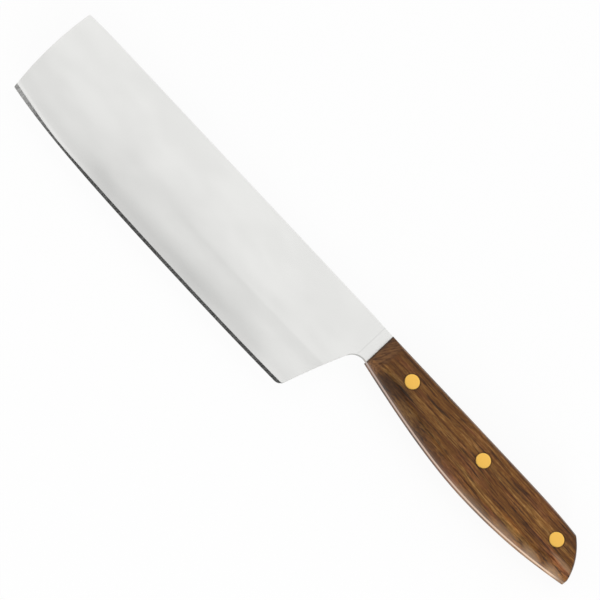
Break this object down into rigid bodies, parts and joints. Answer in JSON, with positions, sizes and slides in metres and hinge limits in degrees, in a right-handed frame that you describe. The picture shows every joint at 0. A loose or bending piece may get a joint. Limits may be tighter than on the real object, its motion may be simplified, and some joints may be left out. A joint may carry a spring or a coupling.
{
  "type": "chinese cleaver",
  "caption": "Tall-bladed kitchen cleaver for vegetables, with a ground steel blade, a full tang and riveted wooden handle scales.",
  "frame": {"origin": "middle of the knife's length and depth, on the surface it lies on, which is the right scale's outer face", "axes": "+X along the knife towards the butt of the handle, +Y from the cutting edge towards the spine, +Z out of the left side, which faces up as the knife lies"},
  "size_m": [0.2988, 0.0502, 0.014],
  "materials": {
    "blade_steel": "satin",
    "handle_wood": "satin",
    "rivet_brass": "satin"
  },
  "bodies": {
    "root": {"blade": "blade_steel", "left_scale": "handle_wood", "right_scale": "handle_wood", "front_rivet_post": "rivet_brass", "front_rivet_socket": "rivet_brass", "middle_rivet_post": "rivet_brass", "middle_rivet_socket": "rivet_brass", "rear_rivet_post": "rivet_brass", "rear_rivet_socket": "rivet_brass"}
  },
  "joints": []
}
